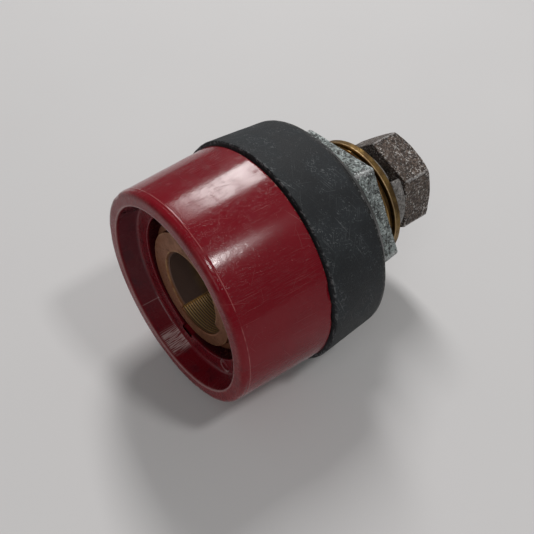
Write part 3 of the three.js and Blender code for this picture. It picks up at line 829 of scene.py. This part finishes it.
def galvanised(name, grey, pale, dark, bright_edges):
    """Hot-dip zinc: crystals of several greys, pale bloom, dark pits and dirt. bright_edges gives a mask."""
    material, inputs, place = new_finish(name)
    cells = {"Vector": place, "Scale": 1.5, "Randomness": 1.0}
    crystals = place.node("ShaderNodeTexVoronoi", {}, cells, output=1)
    mottled = place.cloud(1.5, 4, 0.65, 2)
    tone = (crystals.split()[0] * 0.45 + mottled * 1.1 - 0.25).rise(0.15, 0.75)
    clumps = place.cloud(2.2, 3, 0.5, 5).rise(0.38, 0.62)
    bloom = place.cloud(0.42, 3, 0.75, 6).rise(0.55, 0.60) * (0.25 + clumps * 0.75)
    pits = place.cloud(0.42, 2, 0.7, 9).rise(0.55, 0.585)
    dirt = place.cloud(0.8, 4, 0.65, 8).rise(0.53, 0.68) * 0.7 + pits
    edges = bright_edges(*around(place)) * place.cloud(0.6, 2, 0.5, 11).rise(0.3, 0.55)
    zinc = tone.pick(dark, grey)
    zinc = (dirt * 0.85).at_most(1).pick(zinc, colour(0.026, 0.022, 0.020))
    zinc = (bloom * 0.85).pick(zinc, pale)
    zinc = (edges * 0.4).at_most(1).pick(zinc, colour(0.72, 0.72, 0.72))
    zinc.feeds(inputs["Base Color"])
    (0.45 - bloom * 0.2 - dirt * 0.2).feeds(inputs["Metallic"])
    (0.54 + bloom * 0.08 + dirt * 0.15 - edges * 0.1).feeds(inputs["Roughness"])
    (mottled + place.cloud(0.4, 3, 0.7, 3) * 0.7 - pits * 0.3).bump(0.45, 0.9).feeds(inputs["Normal"])
    return material


def nut_edges(radius, station, degrees):
    corner = corner_radius(NUT_ACROSS_FLATS)
    return radius.rise(corner - 0.5, corner - 0.2)


nut = nut_mesh()
nut_zinc = galvanised(
    "nut_zinc",
    grey=colour(0.33, 0.38, 0.37),
    pale=colour(0.85, 0.92, 0.91),
    dark=colour(0.06, 0.067, 0.066),
    bright_edges=nut_edges,
)
groove(nut, nut_zinc, thread("thread", STUD_RADIUS + THREAD_PLAY))
shade(nut)
fit_out(nut, nut_zinc, "nut", "clamp_nut")


# ---- flat washer --------------------------------------------------------------------------------
# A plain turned brass washer on the end of the stud, a little narrower than the stud's thread. It has
# browned in patches, and a highlight is painted along the corner towards the stud.
WASHER_FRONT_Y, WASHER_REAR_Y, WASHER_RADIUS = extent("flat_washer")
WASHER_PLAY = 0.5                # radial, around the bolt
WASHER_BORE_RADIUS = BOLT_RADIUS + WASHER_PLAY


def washer_mesh():
    angles = spread(200)
    radius, station = profile([
        (WASHER_BORE_RADIUS, WASHER_FRONT_Y, 0.15, 0.8),
        (WASHER_RADIUS, WASHER_FRONT_Y, 0.12, 0.12),
        (WASHER_RADIUS, WASHER_REAR_Y, 0.2, 0.8),
        (WASHER_BORE_RADIUS, WASHER_REAR_Y, 0.15, 0.3),
    ], len(angles))
    outside = radius > WASHER_RADIUS - 0.5
    radius = radius - outside * 0.02 * (1 + roughness_of(radius, station, angles, 1.5))
    return skin("flat_washer_brass", radius, station, angles)


def washer_brass():
    material, inputs, place = new_finish("washer_brass", Metallic=1.0)
    radius, station, _ = around(place)
    stained = place.cloud(1.8, 4, 0.6, 2).rise(0.38, 0.66)
    rim = radius.rise(WASHER_RADIUS - 0.35, WASHER_RADIUS - 0.15)
    lines = place.times((0.3, 1, 0.3)).cloud(0.16, 3, 0.6, 5).rise(0.45, 0.65)
    gold = stained.pick(colour(0.21, 0.135, 0.045), colour(0.10, 0.062, 0.026))
    gold = (lines * rim * 0.6).pick(gold, colour(0.14, 0.08, 0.035))
    # A highlight is painted along the front corner of the rim.
    gold = (station.near(WASHER_FRONT_Y + 0.05, 0.16) * rim).pick(gold, colour(0.50, 0.36, 0.20))
    gold.feeds(inputs["Base Color"])
    (0.40 + stained * 0.15 + lines * 0.1).feeds(inputs["Roughness"])
    (lines * rim + place.cloud(0.4, 3, 0.6, 1) * 0.5).bump(0.04, 0.6).feeds(inputs["Normal"])
    return material


washer = washer_mesh()
shade(washer)
fit_out(washer, washer_brass(), "washers", "flat_washer")


# ---- spring washer ------------------------------------------------------------------------------
# One left-handed turn of flat galvanised spring wire, cut through. Its sharp ends bite into the bolt's
# head and the flat washer. It stands open, because the bolt isn't tightened.
SPRING_FRONT_Y, SPRING_REAR_Y, SPRING_RADIUS = extent("spring_washer")
SPRING_THICKNESS = 2.2
SPRING_LIFT = SPRING_REAR_Y - SPRING_FRONT_Y - SPRING_THICKNESS
SPRING_PLAY = 0.35               # radial, around the bolt
SPRING_BORE_RADIUS = BOLT_RADIUS + SPRING_PLAY
SPRING_SPLIT = 48                # degrees from +X towards +Z
SPRING_SPLIT_WIDTH = 4           # degrees
SPRING_STEPS = 220


def spring_mesh():
    corners = [(SPRING_BORE_RADIUS, 0), (SPRING_RADIUS, 0), (SPRING_RADIUS, SPRING_THICKNESS),
               (SPRING_BORE_RADIUS, SPRING_THICKNESS)]
    radius, station = profile([(r, y, 0.22, 0.5) for r, y in corners], 1)
    middle_radius = (SPRING_BORE_RADIUS + SPRING_RADIUS) / 2
    middle_y = SPRING_THICKNESS / 2
    made = bmesh.new()
    loops = []
    for step in range(SPRING_STEPS + 1):
        share = step / SPRING_STEPS
        turn = math.radians(SPRING_SPLIT + SPRING_SPLIT_WIDTH / 2 + (360 - SPRING_SPLIT_WIDTH) * share)
        end_round = 1 - 0.08 * max(0, 1 - min(step, SPRING_STEPS - step) / 2) ** 2
        loop = []
        for r, y in zip(radius[:, 0], station[:, 0]):
            out = middle_radius + (r - middle_radius) * end_round
            up = middle_y + (y - middle_y) * end_round + SPRING_FRONT_Y + SPRING_LIFT * share
            loop.append(made.verts.new((out * math.cos(turn) * MM, up * MM, out * math.sin(turn) * MM)))
        loops.append(loop)
    for here, after in zip(loops, loops[1:]):
        for k in range(len(here)):
            on = (k + 1) % len(here)
            made.faces.new((here[k], here[on], after[on], after[k]))
    made.faces.new(loops[0][::-1])
    made.faces.new(loops[-1])
    mesh = bpy.data.meshes.new("spring_washer_steel")
    made.to_mesh(mesh)
    made.free()
    piece = bpy.data.objects.new("spring_washer_steel", mesh)
    scene.collection.objects.link(piece)
    return piece


def spring_edges(radius, station, degrees):
    return radius.rise(SPRING_RADIUS - 0.25, SPRING_RADIUS - 0.05) * 0.5


spring = spring_mesh()
shade(spring)
spring_zinc = galvanised(
    "spring_zinc",
    grey=colour(0.17, 0.155, 0.14),
    pale=colour(0.36, 0.35, 0.33),
    dark=colour(0.07, 0.060, 0.050),
    bright_edges=spring_edges,
)
fit_out(spring, spring_zinc, "washers", "spring_washer")


# ---- terminal bolt ------------------------------------------------------------------------------
# An M10 x 20 hexagon bolt, forged and galvanised, that clamps the cable lug against the stud. The head
# is mottled brown-grey with bright rubbed corners, the shank is threaded up to the head.
HEAD_ACROSS_FLATS = 17
HEAD_THICKNESS = 7
HEAD_FRONT_Y = HEAD_REAR_Y - HEAD_THICKNESS
HEAD_CORNER = 38.4               # degrees from +X towards +Z
BOLT_TIP_CHAMFER = 0.8
THREAD_END_Y = HEAD_FRONT_Y - 1  # the thread runs out this close to the head


def bolt_mesh():
    angles = hexagon_angles(132, HEAD_CORNER)
    side = hexagon_radius(angles, HEAD_ACROSS_FLATS, HEAD_CORNER, 0.45)
    end = HEAD_ACROSS_FLATS / 2 - CHAMFER_INSET
    drop = (side - end) * CHAMFER_SLOPE
    radius, station = profile([
        (0, BOLT_TIP_Y, 0, 1),
        (BOLT_RADIUS - BOLT_TIP_CHAMFER, BOLT_TIP_Y, 0, 0.2),
        (BOLT_RADIUS, BOLT_TIP_Y + BOLT_TIP_CHAMFER, 0, 0.12),
        (BOLT_RADIUS, HEAD_FRONT_Y, 0.2, 0.6),
        (side, HEAD_FRONT_Y, 0.25, 0.5),
        (side, HEAD_REAR_Y - drop, 0.2, 0.35),
        (end, HEAD_REAR_Y, 0.15, 0.6),
        (0, HEAD_REAR_Y, 0, 1),
    ], len(angles), closed=False)
    on_shank = (radius > 3.5) & (radius < BOLT_RADIUS + 0.01) & (station < THREAD_END_Y)
    on_head = station > HEAD_FRONT_Y - 0.01
    lumps = roughness_of(radius, station, angles, 1.6) + 0.7 * roughness_of(radius, station, angles, 0.7)
    inward = on_head * 0.04 * (1.6 + lumps) * np.clip(radius - BOLT_RADIUS, 0, 1)
    station = station - on_head * 0.03 * np.clip((station - HEAD_FRONT_Y) / 2, 0, 1) * (1.5 + lumps)
    return skin("terminal_bolt_steel", radius - inward, station, angles, closed=False, attributes={
        "thread": on_shank * np.clip((THREAD_END_Y - station) / 1.5, 0, 1),
    })


def bolt_edges(radius, station, degrees):
    corner = corner_radius(HEAD_ACROSS_FLATS)
    return radius.rise(corner - 0.35, corner - 0.1) * station.rise(HEAD_FRONT_Y - 0.2, HEAD_FRONT_Y)


bolt = bolt_mesh()
bolt_zinc = galvanised(
    "bolt_zinc",
    grey=colour(0.135, 0.100, 0.080),
    pale=colour(0.66, 0.64, 0.61),
    dark=colour(0.042, 0.029, 0.023),
    bright_edges=bolt_edges,
)
groove(bolt, bolt_zinc, thread("thread", BOLT_RADIUS))
shade(bolt)
fit_out(bolt, bolt_zinc, "bolt", "terminal_bolt")


# ---- floor and light ----------------------------------------------------------------------------
# The socket lies on its rubber ring on a plain pale floor. Two soft lights above it, one on each side
# of the camera's line of sight, give the two pale bands along the shroud. A broad one from the front
# and above fills the recess and lights the washers.
FLOOR_SIZE = 3                   # metres
FLOOR_DROP = 0.02 * MM           # the floor is this far below the ring


def pale_floor():
    low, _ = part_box("insulating_ring")
    half = FLOOR_SIZE / 2
    mesh = bpy.data.meshes.new("floor")
    corners = [(x * half, y * half, low.z - FLOOR_DROP) for x, y in ((-1, -1), (1, -1), (1, 1), (-1, 1))]
    mesh.from_pydata(corners, [], [(0, 1, 2, 3)])
    floor = bpy.data.objects.new("floor", mesh)
    scene.collection.objects.link(floor)
    material, inputs, place = new_finish("floor_paper", Roughness=0.9, Specular_IOR_Level=0.2)
    place.cloud(60, 2).pick(colour(0.64, 0.64, 0.64), colour(0.67, 0.67, 0.67)).feeds(inputs["Base Color"])
    mesh.materials.append(material)


def soft_light(name, one_end, other_end, distance, width, watts):
    """A long soft light, seen from the socket between two directions."""
    one, other = Vector(one_end), Vector(other_end)
    light = bpy.data.lights.new(name, "AREA")
    light.shape = "RECTANGLE"
    light.size, light.size_y = (one - other).length * distance, width
    light.energy = watts
    light.color = (1, 0.975, 0.965)
    lamp = bpy.data.objects.new(name, light)
    towards = (one + other).normalized()
    across = towards.cross(one - other).normalized()
    facing = Matrix((across.cross(towards), across, towards)).transposed().to_4x4()
    lamp.matrix_world = Matrix.Translation(towards * distance) @ facing
    scene.collection.objects.link(lamp)


pale_floor()
soft_light("left_light", (-0.66, 0.375, 0.66), (-0.29, 0.375, 0.88), 0.60, 0.11, 2.0)
soft_light("right_light", (0.46, 0.16, 0.875), (0.465, 0.265, 0.835), 0.60, 0.07, 0.75)
soft_light("front_light", (0.15, -0.50, 0.82), (0.75, -0.42, 0.50), 0.80, 0.4, 1.15)
world = bpy.data.worlds.new("pale_room")
world.use_nodes = True
world.node_tree.nodes["Background"].inputs["Color"].default_value = (1, 1, 1, 1)
world.node_tree.nodes["Background"].inputs["Strength"].default_value = 0.15
scene.world = world
scene.view_settings.view_transform = "Standard"
